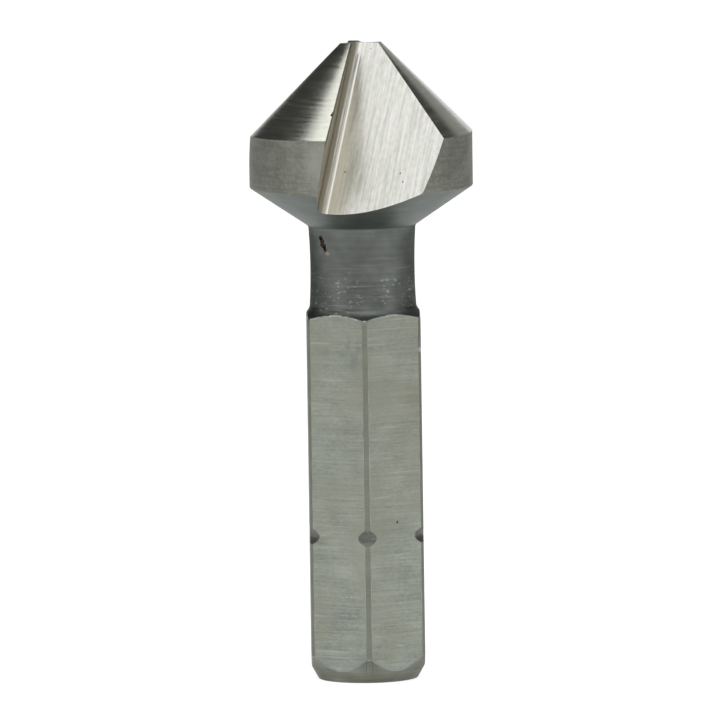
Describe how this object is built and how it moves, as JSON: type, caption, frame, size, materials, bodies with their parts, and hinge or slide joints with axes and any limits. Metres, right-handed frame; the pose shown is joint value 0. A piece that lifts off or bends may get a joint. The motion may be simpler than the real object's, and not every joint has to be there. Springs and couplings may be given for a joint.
{
  "type": "countersink bit",
  "caption": "Conical countersink bit with relieved cutting lands, open gullets, a turned neck and a notched hexagonal shank.",
  "frame": {"origin": "middle of the flat shank end", "axes": "+Z along the tool's axis, from the shank end to the cutting tip; -Y through a corner of the hexagon, +X square to a flat"},
  "size_m": [0.0124, 0.0121, 0.0355],
  "materials": {
    "tool_steel": "ground, uncoated high-speed steel"
  },
  "bodies": {
    "root": {"countersink_bit": "tool_steel"}
  },
  "joints": []
}
